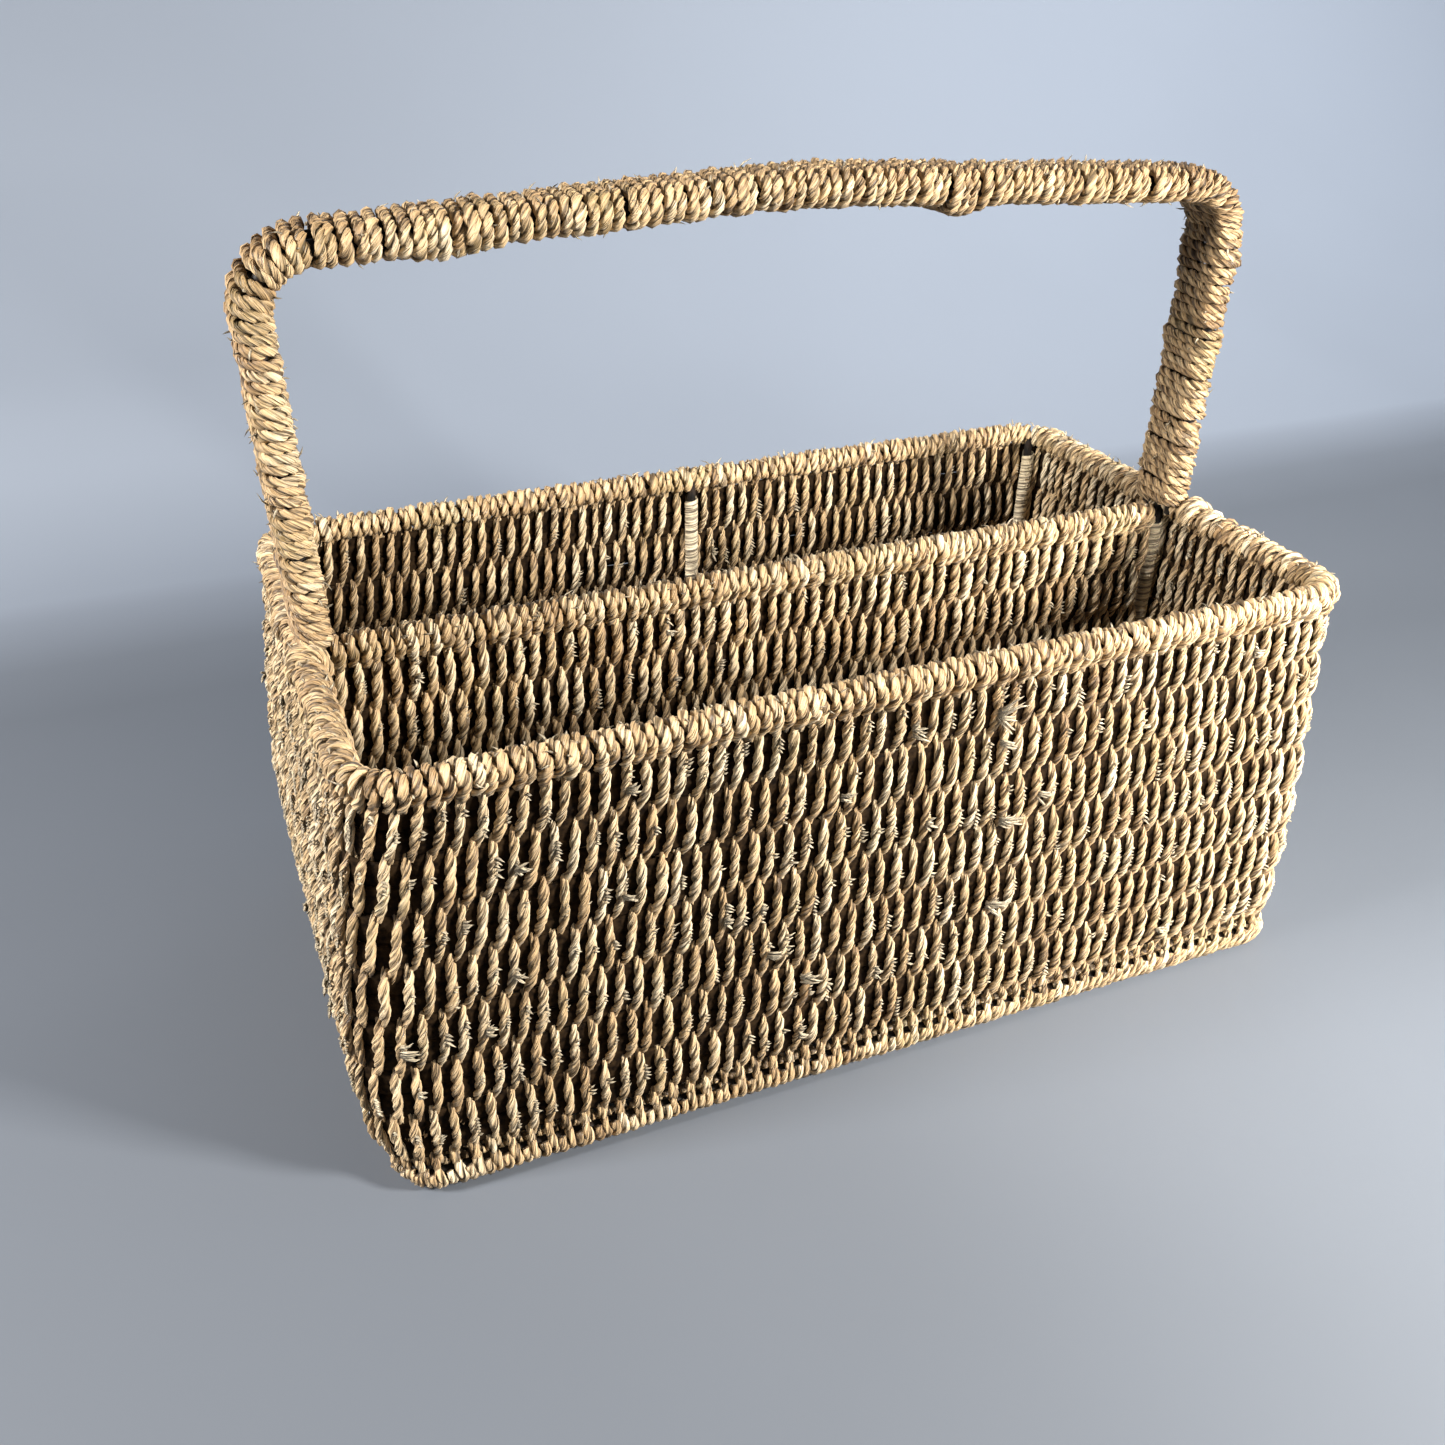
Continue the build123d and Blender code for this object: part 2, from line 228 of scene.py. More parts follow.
def seagrass(name, tone_shift=0.0):
    """Twisted seagrass. tone is a cord's own paleness, and shade how pale it is along its length: partly
    random paleness, and partly painted shade where a cord goes into the weave and on the outer side of the
    handle's winding.
    """
    finish = Finish(name)
    uv = finish.add("ShaderNodeUVMap", {"uv_map": "UVMap"}).outputs[0]
    parts = finish.add("ShaderNodeSeparateXYZ", None, {0: uv})
    along, around = Value(finish, parts.outputs[0]), Value(finish, parts.outputs[1])
    tone, shade = finish.attribute("tone"), finish.attribute("shade")
    # Each ply has its own pattern of blades and fibres, drawn out along the cord.
    ply = (around * 2).floor()
    groove = (((around * 2).fraction() - 0.5).size() * 2) ** 4
    own = tone * 37 + ply * 5.3
    blade = finish.noise(finish.vector(along * 0.7, around * 9, own), 1.0, 2.0)
    fibre = finish.noise(finish.vector(along * 1.2, around * 19, own), 1.0, 3.0)
    crack = finish.spread(blade, 0.34, 0.45, 1.0, 0.0)
    split = finish.spread(fibre, 0.36, 0.46, 1.0, 0.0)
    place = finish.add("ShaderNodeTexCoord").outputs["Object"]
    patch = finish.noise(place, 14.0, 2.0)
    stain = finish.noise(place, 90.0, 2.0)
    paleness = tone * 0.28 + shade * 0.50 + fibre * 0.40 + blade * 0.70 + patch * 0.26 + stain * 0.20
    colour = finish.ramp(
        paleness + (tone_shift - 0.62),
        (0.0, DARK_STRAW),
        (0.30, KHAKI),
        (0.58, STRAW),
        (0.90, PALE_STRAW),
    )
    # The cracks between blades, the splits in them and the groove between the plies are darkened: painted
    # shade in these crevices.
    colour = finish.mix(crack * 0.8, colour, (*CREVICE_SHADE, 1.0))
    colour = finish.mix(split * 0.6, colour, (*CREVICE_SHADE, 1.0))
    colour = finish.mix(groove * 0.85, colour, (*CREVICE_SHADE, 1.0))
    olive = finish.spread(finish.noise(place, 33.0), 0.55, 0.75, 0.0, 0.3)
    colour = finish.mix(olive, colour, (*OLIVE, 1.0))
    roughness = finish.spread(fibre, 0.3, 0.7, 0.40, 0.66)
    relief = blade * 1.2 + fibre * 0.5 - groove * 0.3
    return finish.surface(colour, roughness, relief, FIBRE_RELIEF, Specular_IOR_Level=0.5, Sheen_Weight=0.06)


def dark_strand():
    """The flat brown strands that the cords pass in front of and behind. Their colour is painted nearly
    black, which stands for the shade in the gaps between the cords.
    """
    finish = Finish("dark_strand")
    place = finish.add("ShaderNodeTexCoord").outputs["Object"]
    grain = finish.noise(place, 420.0, 3.0)
    colour = finish.ramp(grain, (0.35, (0.004, 0.002, 0.001)), (0.75, (0.035, 0.02, 0.009)))
    roughness = finish.spread(grain, 0.3, 0.7, 0.7, 0.9)
    return finish.surface(colour, roughness, grain, 0.3 * MM, Specular_IOR_Level=0.05)


def painted_wire():
    """Black paint on steel wire, a little worn."""
    finish = Finish("painted_wire")
    place = finish.add("ShaderNodeTexCoord").outputs["Object"]
    wear = finish.noise(place, 260.0, 4.0)
    colour = finish.ramp(wear, (0.45, (0.008, 0.007, 0.006)), (0.72, (0.04, 0.026, 0.018)))
    roughness = finish.spread(wear, 0.3, 0.8, 0.45, 0.7)
    return finish.surface(colour, roughness, wear, 0.1 * MM, Specular_IOR_Level=0.2)


WEAVE_FINISH = seagrass("seagrass_weave")
RIM_FINISH = seagrass("seagrass_rim_cord", -0.06)
HANDLE_FINISH = seagrass("seagrass_handle_cord", -0.02)
LEAF_FINISH = seagrass("seagrass_leaf_wrap", 0.36)
FRAY_FINISH = seagrass("seagrass_fray", 0.45)
STRAND_FINISH = dark_strand()
WIRE_FINISH = painted_wire()


# ---- cords ----


def section(name, outline):
    """A closed outline for a cord's cross-section. Points run clockwise."""
    curve = bpy.data.curves.new(name, "CURVE")
    curve.dimensions = "2D"
    spline = curve.splines.new("POLY")
    spline.points.add(len(outline) - 1)
    spline.use_cyclic_u = True
    for point, (x, y) in zip(spline.points, outline):
        point.co = (x, y, 0.0, 1.0)
    holder = bpy.data.objects.new(name, curve)
    bpy.context.scene.collection.objects.link(holder)
    return holder


def clockwise(radii):
    """The points at these distances from the middle, evenly turned."""
    turn = 2 * math.pi / len(radii)
    return [(r * math.cos(-turn * i), r * math.sin(-turn * i)) for i, r in enumerate(radii)]


TWO_PLY = section("two_ply_section", clockwise([CORD * f for f in (0.48, 0.90, 1.04, 0.92, 1.12, 0.80)] * 2))
FLAT = section("flat_section", [(x * 0.6 * MM, y * 6.0 * MM) for x, y in clockwise([1.0] * 8)])
LEAF = section("leaf_section", [(x * 0.55 * MM, y * 1.95 * MM) for x, y in clockwise([1.0] * 8)])
BLADE = section("blade_section", [(x * 0.62 * MM, y * 0.40 * MM) for x, y in clockwise([1.0] * 4)])


def lengths(line):
    """Distance along a line at each of its points."""
    steps = np.linalg.norm(np.diff(line, axis=0), axis=1)
    return np.concatenate([[0.0], np.cumsum(steps)])


def smooth_noise(count, step, amount):
    """Random values that change slowly along a cord: one new value each step points."""
    knots = rng.normal(0, amount, count // step + 3)
    return np.interp(np.arange(count) / step, np.arange(len(knots)), knots)


class Cord:
    """One length of cord: its middle line, thickness, twist and paleness."""

    def __init__(self, line, thickness=1.0, tone=0.5, shade=0.5, twist=TWIST):
        count = len(line)
        self.line = line
        self.length = lengths(line)
        self.thickness = np.broadcast_to(thickness, count)
        self.shade = np.broadcast_to(shade, count)
        self.tone = tone
        start = rng.uniform(0, 2 * math.pi)
        even = start + 2 * math.pi * self.length / (twist or 1.0)
        self.turn = even + smooth_noise(count, 8, 0.45) if twist else np.zeros(count)


def mesh_of(name, cross_section, cords, level):
    """The mesh of cords with this section, closed at both ends. level keeps the section upright."""
    curve = bpy.data.curves.new(name, "CURVE")
    curve.dimensions = "3D"
    curve.bevel_mode = "OBJECT"
    curve.bevel_object = cross_section
    curve.use_fill_caps = True
    curve.twist_mode = "Z_UP" if level else "MINIMUM"
    for cord in cords:
        count = len(cord.line)
        spline = curve.splines.new("POLY")
        spline.points.add(count - 1)
        points = np.column_stack([cord.line, np.ones(count)])
        spline.points.foreach_set("co", points.astype(np.float32).ravel())
        spline.points.foreach_set("radius", cord.thickness.astype(np.float32))
        spline.points.foreach_set("tilt", cord.turn.astype(np.float32))
        spline.use_smooth = True
    holder = bpy.data.objects.new(name, curve)
    bpy.context.scene.collection.objects.link(holder)
    bpy.context.view_layer.update()
    shown = holder.evaluated_get(bpy.context.evaluated_depsgraph_get())
    mesh = bpy.data.meshes.new_from_object(shown)
    bpy.data.objects.remove(holder)
    mark_cords(mesh, cords, len(cross_section.data.splines[0].points))
    weld_caps(mesh)
    return mesh


def mark_cords(mesh, cords, around):
    """Writes each cord's tone and shade, and the UV map's length in centimetres.
    The end caps come first, from the last cord to the first, and then the cords in order."""
    order = np.arange(len(cords))
    counts = np.array([len(cord.line) for cord in cords])
    owner = np.concatenate([np.repeat(order[::-1], 2 * around), np.repeat(order, counts * around)])
    caps = [[cord.shade[-1], cord.shade[0]] for cord in reversed(cords)]
    rings = np.concatenate([np.ravel(caps), *[cord.shade for cord in cords]])
    tones = np.array([cord.tone for cord in cords])
    for name, values in (("tone", tones[owner]), ("shade", np.repeat(rings, around))):
        mesh.attributes.new(name, "FLOAT", "POINT").data.foreach_set("value", values.astype(np.float32))
    corners = np.zeros(len(mesh.loops), np.int32)
    mesh.loops.foreach_get("vertex_index", corners)
    uv = np.zeros(len(mesh.loops) * 2, np.float32)
    mesh.uv_layers[0].data.foreach_get("uv", uv)
    length = np.array([cord.length[-1] for cord in cords]) / (10 * MM)
    uv[0::2] *= length[owner[corners]]
    mesh.uv_layers[0].data.foreach_set("uv", uv)


def weld_caps(mesh):
    """Joins each cord's end caps to its side."""
    shape = bmesh.new()
    shape.from_mesh(mesh)
    edge = [v for v in shape.verts if v.is_boundary]
    bmesh.ops.remove_doubles(shape, verts=edge, dist=0.001 * MM)
    shape.to_mesh(mesh)
    shape.free()


def piece(name, cross_section, cords, finish, replaced=(), level=False):
    """A finished piece of the basket, made of cords, which may stand for CAD nodes."""
    mesh = mesh_of(name, cross_section, cords, level)
    mesh.name = name
    mesh.materials.clear()
    mesh.materials.append(finish)
    thing = bpy.data.objects.new(name, mesh)
    bpy.context.scene.collection.objects.link(thing)
    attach(thing, "root")
    if replaced:
        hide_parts(*replaced)


# ---- the wall's surface ----


def share(z):
    """0 at the base wire and 1 at the rim wire."""
    return (z - BASE_Z) / (RIM_Z - BASE_Z)


def wall_point(at, z, out):
    """The point at a place round the rim and a height, moved outwards from the wall's middle."""
    at, z, out = np.broadcast_arrays(at, z, out)
    at = at % AROUND
    run = np.searchsorted(RUN_ENDS, at, side="right")
    part = 1 - (RUN_ENDS[run] - at) / RUNS[run]
    side, bend = run // 2, run % 2 == 1
    up = share(z)
    bulge = np.sin(math.pi * np.clip(up, 0, 1) ** BELLY_POWER)
    half_x = BASE_X + (RIM_X - BASE_X) * up + END_BELLY * bulge
    half_y = BASE_Y + (RIM_Y - BASE_Y) * up
    corner = BASE_CORNER + (RIM_CORNER - BASE_CORNER) * up
    half_along = np.where(side % 2 == 0, half_x, half_y)
    half_out = np.where(side % 2 == 0, half_y, half_x)
    along = np.where(bend, 1.0, 2 * part - 1) * (half_along - corner)
    turn = np.where(bend, part * math.pi / 2, 0.0)[..., None]
    outward = np.cos(turn) * NORMALS[side] + np.sin(turn) * DIRECTIONS[side]
    flat = along[..., None] * DIRECTIONS[side] + (half_out - corner)[..., None] * NORMALS[side]
    flat = flat + (corner + out)[..., None] * outward
    slack = LEFT_BELLY * bulge * np.clip(-outward[..., 0], 0, 1)
    return np.stack([flat[..., 0] - slack, flat[..., 1], z], axis=-1)


def divider_point(at, z, out):
    """The same for the divider, which is flat and faces the front."""
    at, z, out = np.broadcast_arrays(at, z, out)
    return np.stack([at, -out, z], axis=-1)


# ---- the weave ----


SQUARENESS = 1.7  # how quickly a cord goes through the weave, and so how long a stitch looks
CROSSING_SIZE = 0.62  # a cord's thickness where it goes through the weave
STITCH_GAIN = 0.22  # how much thicker it is on the middle of a stitch
DIVIDER_STOUT = 1.14  # the divider's cords are thicker than the walls'
FLOOR_STOUT = 0.95
FLOOR_RING = 3.4 * MM
FLOOR_WEAVE = 2 * MM
FLOOR_LIFT = 0.1 * MM  # keeps the lowest cords off the ground


def swing(rows):
    """-1 to 1: where a cord lies across the wall's thickness, and 0 where it crosses the middle."""
    return np.tanh(SQUARENESS * np.sin(math.pi * rows)) / math.tanh(SQUARENESS)


def woven_cord(surface, at, top, first_row, bottom, odd, stout=1.0, spacing=RING, weave=WEAVE):
    """A cord of a woven panel, from its top to its bottom. spacing is between the rings of its mesh.
    The noise makes each cord a little uneven in height, place, thickness and paleness."""
    count = int((top - bottom) / spacing) + 1
    z = np.linspace(top, bottom, count)
    rows = np.maximum(first_row - z, 0.0) / ROW + rng.normal(0, 0.025)
    rows = rows + smooth_noise(count, 15, 0.03) + odd
    across = swing(rows)
    sign, part = np.sign(across), np.pi * (rows % 1)
    sideways = sign * (SWAY * np.sin(part) + LEAN * np.cos(part) ** 3)
    sideways = sideways + smooth_noise(count, 10, 0.36 * MM)
    out = weave * across + smooth_noise(count, 10, 0.22 * MM)
    line = surface(at + sideways, z, out)
    full = CROSSING_SIZE + STITCH_GAIN * np.abs(across)
    thickness = stout * full * rng.normal(1.0, 0.06) * (1 + smooth_noise(count, 3, 0.07))
    # shade drops where the cord goes through the weave: painted shade where it dives between the strands
    shade = 0.62 + smooth_noise(count, 12, 0.18) - 0.30 * (1 - np.abs(across))
    twist = TWIST * rng.normal(1.0, 0.13)
    return Cord(line, np.clip(thickness, 0.5, 1.18), rng.random(), np.clip(shade, 0, 1), twist)


def cord_places(side):
    """The numbers of the cords of one wall, and of the corner half on each side of it."""
    start = int(np.round((RUN_ENDS[2 * side] - RUNS[2 * side] - BEND / 2) / PITCH))
    end = int(np.round((RUN_ENDS[2 * side] + BEND / 2) / PITCH))
    return range(start, end)


def wall_cord(number):
    at = (number + 0.5) * PITCH
    return woven_cord(wall_point, at, RIM_Z - CORD_START, FIRST_ROW, WALL_END, number % 2)


def make_walls():
    """The walls' cords. The long walls are two pieces each."""
    for side, name in enumerate(SIDES):
        numbers = cord_places(side)
        halves = np.array_split(np.array(numbers), 2 if name in ("front", "back") else 1)
        for part, half in enumerate(halves):
            cords = [wall_cord(int(number)) for number in half]
            label = f"wall_{name}_cords" + (f"_{part + 1}" if len(halves) > 1 else "")
            piece(label, TWO_PLY, cords, WEAVE_FINISH, [f"wall_{name}"])


def strand_heights(first_row, cord_end, lowest):
    """The heights of a panel's flat strands, two to a row of stitches."""
    for row in range(int((first_row - cord_end) / ROW) + 1):
        for offset in (-STRANDS_APART / 2, STRANDS_APART / 2):
            z = first_row - (row + 0.5) * ROW + offset
            if z >= lowest:
                yield z


def make_strands():
    """The flat strands that run round the basket inside the weave."""
    count = 240
    at = np.linspace(0, AROUND, count)
    cords = []
    for z in strand_heights(FIRST_ROW, WALL_END, WALL_END + 2 * MM):
        wave = smooth_noise(count, 6, 0.5 * MM)
        height = 1 + smooth_noise(count, 4, 0.06)
        cords.append(Cord(wall_point(at, z + wave, 0.0), height, rng.random(), twist=None))
    piece("weave_strands", FLAT, cords, STRAND_FINISH, level=True)


def make_divider():
    """The divider's cords in two pieces, and its strands."""
    pitch = 2 * DIVIDER_X / DIVIDER_CORDS
    top, first_row = DIVIDER_Z - CORD_START, DIVIDER_Z - ROW_START
    for part, half in enumerate(np.array_split(np.arange(DIVIDER_CORDS), 2)):
        cords = []
        for number in half:
            at = -DIVIDER_X + (number + 0.5) * pitch
            odd = number % 2
            cords.append(woven_cord(divider_point, at, top, first_row, DIVIDER_END, odd, DIVIDER_STOUT))
        piece(f"divider_cords_{part + 1}", TWO_PLY, cords, WEAVE_FINISH, ["divider_panel"])
    count = 80
    at = np.linspace(-DIVIDER_X, DIVIDER_X, count)
    strands = []
    for z in strand_heights(first_row, DIVIDER_END, DIVIDER_END + 3 * MM):
        line = divider_point(at, z + smooth_noise(count, 6, 0.5 * MM), 0.0)
        strands.append(Cord(line, 1.0, rng.random(), twist=None))
    piece("divider_strands", FLAT, strands, STRAND_FINISH, level=True)


def make_floor():
    """The floor's cords, which run from front to back."""
    count = int(2 * FLOOR_X / PITCH)
    pitch = 2 * FLOOR_X / count
    middle = FLOOR_TOP / 2 + FLOOR_LIFT

    def floor_point(at, y, out):
        at, y, out = np.broadcast_arrays(at, y, out)
        return np.stack([at, y, middle + out], axis=-1)

    cords = []
    for number in range(count):
        at = -FLOOR_X + (number + 0.5) * pitch
        ends = FLOOR_Y, FLOOR_Y, -FLOOR_Y
        cord = woven_cord(floor_point, at, *ends, number % 2, spacing=FLOOR_RING, weave=FLOOR_WEAVE)
        cord.thickness = cord.thickness * FLOOR_STOUT
        cords.append(cord)
    piece("floor_cords", TWO_PLY, cords, WEAVE_FINISH, ["floor_panel"])


# ---- the rim and the base edge ----

LOOP = 4.05 * MM  # from the rim wire's middle to the middle of the cord over it
LOOPS_APART = 4.5 * MM
LOOP_POINTS = 15
LOOP_SLANT = 1.2 * MM  # a rim loop runs this far to each side of its middle
EDGE_SLANT = 0.8 * MM
EDGE_LOOP = 4.2 * MM  # the same as LOOP, at the base wire
EDGE_SIZE = 0.84  # thickness of its cord
TAIL_DROP = np.array([3.6, 5.6, 7.6]) * MM  # a rim loop's end, from the rim wire's middle down
TAIL_LEAN = np.array([-0.1, -0.5, -0.9]) * MM  # and to one side
TAIL_SIZE = np.array([0.98, 0.9, 0.8])
# How far the tail stands out from the wall's middle. Every second one goes in between the wall's cords.
TAILS_OUT = ((3.3 * MM, 2.7 * MM, 2.0 * MM), (2.8 * MM, 1.6 * MM, 0.5 * MM))


def rim_loop(surface, at, height, odd):
    """A turn of cord over a rim wire: up the inside, over the top and down the outside to a short tail.
    Its angles are from straight out."""
    turn = np.linspace(math.radians(225), math.radians(-32), LOOP_POINTS)
    sideways = np.linspace(-LOOP_SLANT, LOOP_SLANT, LOOP_POINTS) + rng.normal(0, 0.45 * MM)
    radius = LOOP * rng.normal(1.0, 0.06)
    line = surface(
        at + np.concatenate([sideways, sideways[-1] + TAIL_LEAN]),
        np.concatenate([height + radius * np.sin(turn), height - TAIL_DROP]),
        np.concatenate([radius * np.cos(turn), TAILS_OUT[odd]]),
    )
    count = len(line)
    thickness = np.concatenate([np.full(LOOP_POINTS, 1.04), TAIL_SIZE]) * rng.normal(1.0, 0.09)
    thickness = thickness * (1 + smooth_noise(count, 3, 0.07))
    shade = np.clip(0.58 + smooth_noise(count, 5, 0.18), 0, 1)
    return Cord(line, np.clip(thickness, 0.7, 1.2), rng.random(), shade, LOOP_TWIST)


def edge_loop(at, odd):
    """A turn of cord round the base wire: down the outside, under it and up inside."""
    turn = np.linspace(math.radians(70 if odd else 40), math.radians(-205), LOOP_POINTS)
    z = BASE_Z + EDGE_LOOP * np.sin(turn)
    out = EDGE_LOOP * np.cos(turn)
    sideways = np.linspace(EDGE_SLANT, -EDGE_SLANT, LOOP_POINTS) + rng.normal(0, 0.25 * MM)
    line = wall_point(at + sideways, z, out)
    thickness = EDGE_SIZE * rng.normal(1.0, 0.07)
    return Cord(line, thickness, rng.random(), 0.5 + smooth_noise(LOOP_POINTS, 5, 0.15))


def loop_places(start, end):
    """The middles of evenly spaced loops of cord between two places."""
    count = int(round((end - start) / LOOPS_APART))
    return start + (np.arange(count) + 0.5) * (end - start) / count


def make_rim():
    """Each side's rim and base edge, and the divider's rim."""
    for side, name in enumerate(SIDES):
        numbers = cord_places(side)
        places = loop_places(numbers[0] * PITCH, (numbers[-1] + 1) * PITCH)
        loops = [rim_loop(wall_point, at, RIM_Z, number % 2) for number, at in enumerate(places)]
        nodes = [f"rim_wrap_{name}"]
        piece(f"rim_{name}_cord", TWO_PLY, loops, RIM_FINISH, nodes)
        turns = [edge_loop((number + 0.5) * PITCH, number % 2) for number in numbers]
        nodes = [f"base_edge_{name}"]
        piece(f"base_edge_{name}_cord", TWO_PLY, turns, WEAVE_FINISH, nodes)
    places = loop_places(-DIVIDER_X, DIVIDER_X)
    loops = [rim_loop(divider_point, at, DIVIDER_Z, number % 2) for number, at in enumerate(places)]
    piece("divider_rim_cord", TWO_PLY, loops, RIM_FINISH, ["divider_rim_wrap"])


# ---- posts ----


LEAF_PITCH = 3.5 * MM
LEAF_POINTS = 12  # to a turn
LEAF_LIFT = 0.75 * MM  # from the wire's surface to the leaf's middle
LEAF_MARGIN = 2 * MM  # from the wrap's ends to the leaf's middle


def make_posts():
    """A pale leaf wound round each post. Posts lean outwards in x, and corner posts inwards in y."""
    for node in sorted(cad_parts):
        if not node.endswith("_post_wrap"):
            continue
        low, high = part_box(node)
        post_low, post_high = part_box(node.replace("_wrap", ""))
        lean = (post_high - post_low - Vector((2 * WIRE, 2 * WIRE, 0))) / 2
        middle = (post_high + post_low) / 2
        turns = (high.z - low.z) / LEAF_PITCH
        count = int(turns * LEAF_POINTS)
        turn = np.linspace(0, turns * 2 * math.pi, count)
        z = np.linspace(low.z + LEAF_MARGIN, high.z - LEAF_MARGIN, count)
        rise = (z - middle.z) / ((post_high.z - post_low.z) / 2)
        x = middle.x + rise * math.copysign(lean.x, middle.x)
        y = middle.y - rise * math.copysign(lean.y, middle.y)
        radius = WIRE + LEAF_LIFT
        line = np.stack([x + radius * np.cos(turn), y + radius * np.sin(turn), z], axis=-1)
        ribbon = Cord(line, 1 + smooth_noise(count, 12, 0.05), rng.random(), 0.6, twist=None)
        label = node.replace("_post_wrap", "_leaf_wrap")
        piece(label, LEAF, [ribbon], LEAF_FINISH, [node], level=True)


# ---- the handle ----

HANDLE_CORNER = 21.5 * MM
HANDLE_RISE = 10 * MM  # of the bar, from its corners to its middle
CROWN_PULL = 30 * MM  # the length of bar that the bend at its middle takes up, on each side
LEG_LEAN = 4 * MM
LEG_INSET = 0.6 * MM  # of the feet, besides the rim wire's thickness
HANDLE_HALF_THICK = 7.5 * MM
STADIUM_R = 4.95 * MM  # from a rod's middle to the middle of the cord round it
FOOT_MARGIN = 3 * MM  # from the middle line's ends to the cord's ends
SLACK_TURNS = ((-133 * MM, 2.5 * MM), (67 * MM, 4.5 * MM))  # place along the bar, and how slack
SLACK_WIDTH = 9 * MM


def rounded(points, radii, step):
    """A route through these points with its corners rounded, as points a step apart."""
    points = [np.array(p) for p in points]
    line = [points[0]]
    for before, corner, after, radius in zip(points, points[1:], points[2:], radii):
        a = (corner - before) / np.linalg.norm(corner - before)
        b = (after - corner) / np.linalg.norm(after - corner)
        turn = math.acos(np.clip(a @ b, -1, 1))
        reach = radius * math.tan(turn / 2)
        right = np.array([a[1], -a[0]])
        for angle in np.linspace(0, turn, max(int(turn * radius / step), 4)):
            line.append(corner - reach * a + radius * (math.sin(angle) * a + (1 - math.cos(angle)) * right))
    line.append(points[-1])
    line = np.array(line)
    along = lengths(line)
    even = np.linspace(0, along[-1], int(along[-1] / step))
    return np.stack([np.interp(even, along, line[:, 0]), np.interp(even, along, line[:, 1])], axis=-1)


def handle_route():
    """The handle's middle line from foot to foot, as x and z."""
    foot_x = RIM_X - 2 * WIRE - LEG_INSET
    foot_z = RIM_Z - WIRE
    corner_x = foot_x + LEG_LEAN
    slope = HANDLE_RISE / corner_x
    corner_z = BAR_TOP - HANDLE_HALF_THICK - HANDLE_RISE + CROWN_PULL * slope / 2
    points = [
        (-foot_x, foot_z),
        (-corner_x, corner_z),
        (0.0, corner_z + HANDLE_RISE),
        (corner_x, corner_z),
        (foot_x, foot_z),
    ]
    return rounded(points, (HANDLE_CORNER, CROWN_PULL / slope, HANDLE_CORNER), 1 * MM)


ROUTE = handle_route()
ROUTE_LENGTH = lengths(ROUTE)


def route_point(along):
    """The x and z of the handle's middle line a distance along it."""
    return np.array([np.interp(along, ROUTE_LENGTH, values) for values in ROUTE.T])


def handle_point(along, y, out):
    """The point a distance along the handle, moved across its width and out from its middle."""
    x, z = route_point(along)
    step = 2 * MM
    dx, dz = route_point(along + step) - route_point(along - step)
    size = np.hypot(dx, dz)
    return np.stack([x - out * dz / size, y, z + out * dx / size], axis=-1)


def stadium(part):
    """The cord's middle line round both rods, for a part of a turn: across and out."""
    straight, arc = 2 * ROD_Y, math.pi * STADIUM_R
    place = (part % 1) * 2 * (straight + arc)
    y = np.zeros_like(place)
    out = np.zeros_like(place)
    top = place < straight
    y[top], out[top] = place[top] - ROD_Y, STADIUM_R
    far = (place >= straight) & (place < straight + arc)
    angle = (place[far] - straight) / STADIUM_R
    y[far], out[far] = ROD_Y + STADIUM_R * np.sin(angle), STADIUM_R * np.cos(angle)
    under = (place >= straight + arc) & (place < 2 * straight + arc)
    y[under], out[under] = ROD_Y - (place[under] - straight - arc), -STADIUM_R
    near = place >= 2 * straight + arc
    angle = (place[near] - 2 * straight - arc) / STADIUM_R
    y[near], out[near] = -ROD_Y - STADIUM_R * np.sin(angle), -STADIUM_R * np.cos(angle)
    return y, out


def slack_under(along):
    """How far the cord hangs below the bar: it is slack where one cord ends and the next starts."""
    x = route_point(along)[0]
    return sum(depth * np.exp(-(((x - place) / SLACK_WIDTH) ** 2)) for place, depth in SLACK_TURNS)


def wound_cord(start, end, pitch, thickness, paleness):
    """Cord wound tightly round the handle from one place along it to another."""
    turns = (end - start) / pitch
    around = 4 * ROD_Y + 2 * math.pi * STADIUM_R
    count = int(turns * around / RING)
    part = np.linspace(0, turns, count)
    y, out = stadium(part)
    slip = smooth_noise(count, 18, 0.6 * MM)
    swell = 1 + smooth_noise(count, 26, 0.05)
    along = start + pitch * part + slip
    under = np.clip(-out / STADIUM_R, 0, 1) * slack_under(along)
    line = handle_point(along, y * swell, out * swell - under)
    size = thickness * (1 + smooth_noise(count, 4, 0.11))
    ends = np.clip(np.minimum(np.arange(count), np.arange(count)[::-1]) / 6, 0.4, 1)
    # shade drops on the outer side of the winding, the top of the bar: painted shade
    shade = paleness + smooth_noise(count, 10, 0.22) - 0.5 * np.clip(out / STADIUM_R, 0, 1)
    return Cord(line, size * ends, rng.random(), np.clip(shade, 0, 1), LOOP_TWIST)


# Each part's winding: the pitch, the cord's thickness and its paleness.
BAR_WINDING = (4.6 * MM, 1.06, 0.36)
LEFT_WINDING = (4.0 * MM, 1.0, 0.62)
RIGHT_WINDING = (3.7 * MM, 0.94, 0.46)
LASHINGS = (-21 * MM, -17 * MM, 17 * MM, 21 * MM)  # places across the end walls
LASHING_R = 6.4 * MM  # from the rim wire's middle
LASHING_POINTS = 20


